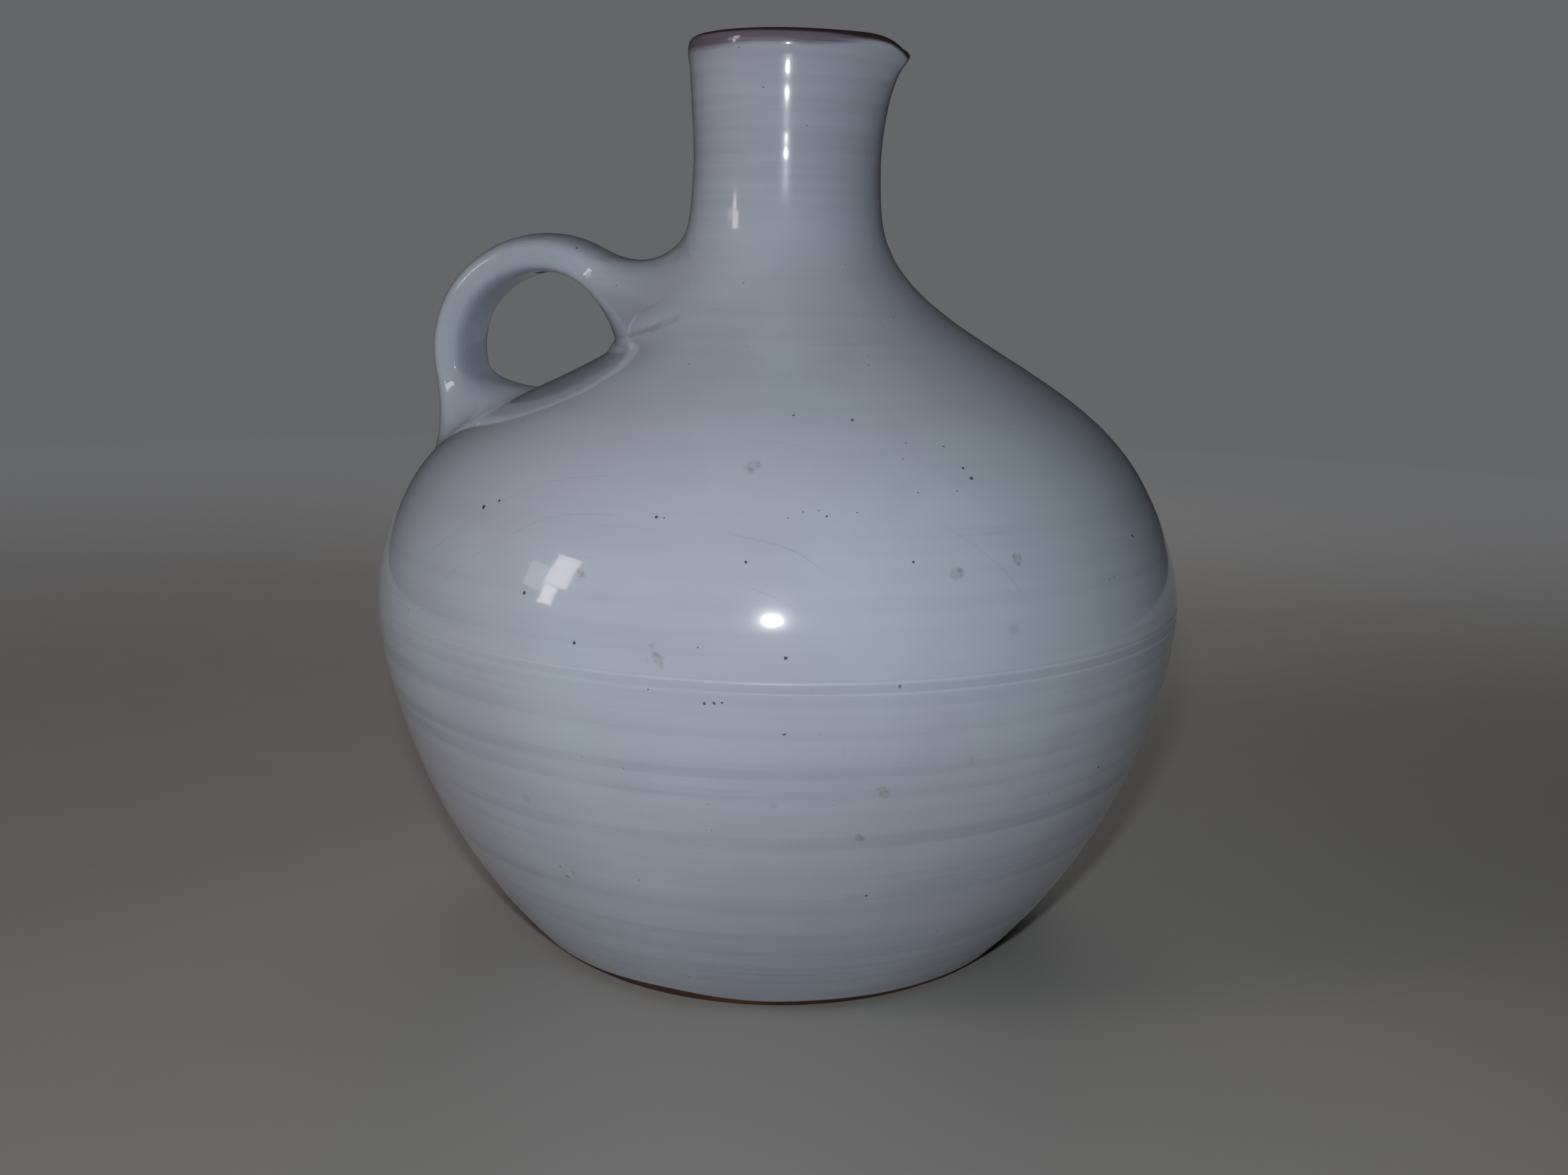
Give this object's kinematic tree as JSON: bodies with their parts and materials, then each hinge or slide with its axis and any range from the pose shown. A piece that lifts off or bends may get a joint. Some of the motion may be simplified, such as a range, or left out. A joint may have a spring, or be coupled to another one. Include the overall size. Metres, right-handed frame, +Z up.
{
  "type": "large earthenware water jug",
  "caption": "Large thrown earthenware jug with a round belly, narrow neck, pulled pouring lip and small ring handle, glazed white inside and out above a bare clay foot.",
  "frame": {"origin": "centre of the foot, on the plane that the jug stands on", "axes": "+Z up along the axis the pot was thrown on; +X towards the pouring lip, with the ring handle at -X in the plane Y = 0"},
  "size_m": [0.2744, 0.2744, 0.3005],
  "materials": {
    "pot_clay": "bare red-brown fired clay, matt",
    "handle_clay": "fired clay under the glaze, matt",
    "outer_glaze": "glossy cool white tin glaze, purple-brown where thin at the rim",
    "handle_glaze": "glossy cool white tin glaze",
    "inner_glaze": "glossy cool white lining glaze"
  },
  "bodies": {
    "root": {"pot": "pot_clay", "handle": "handle_clay", "upper_handle_join": "handle_clay", "lower_handle_join": "handle_clay", "outer_glaze": "outer_glaze", "handle_glaze": "handle_glaze", "inner_glaze": "inner_glaze"}
  },
  "joints": []
}
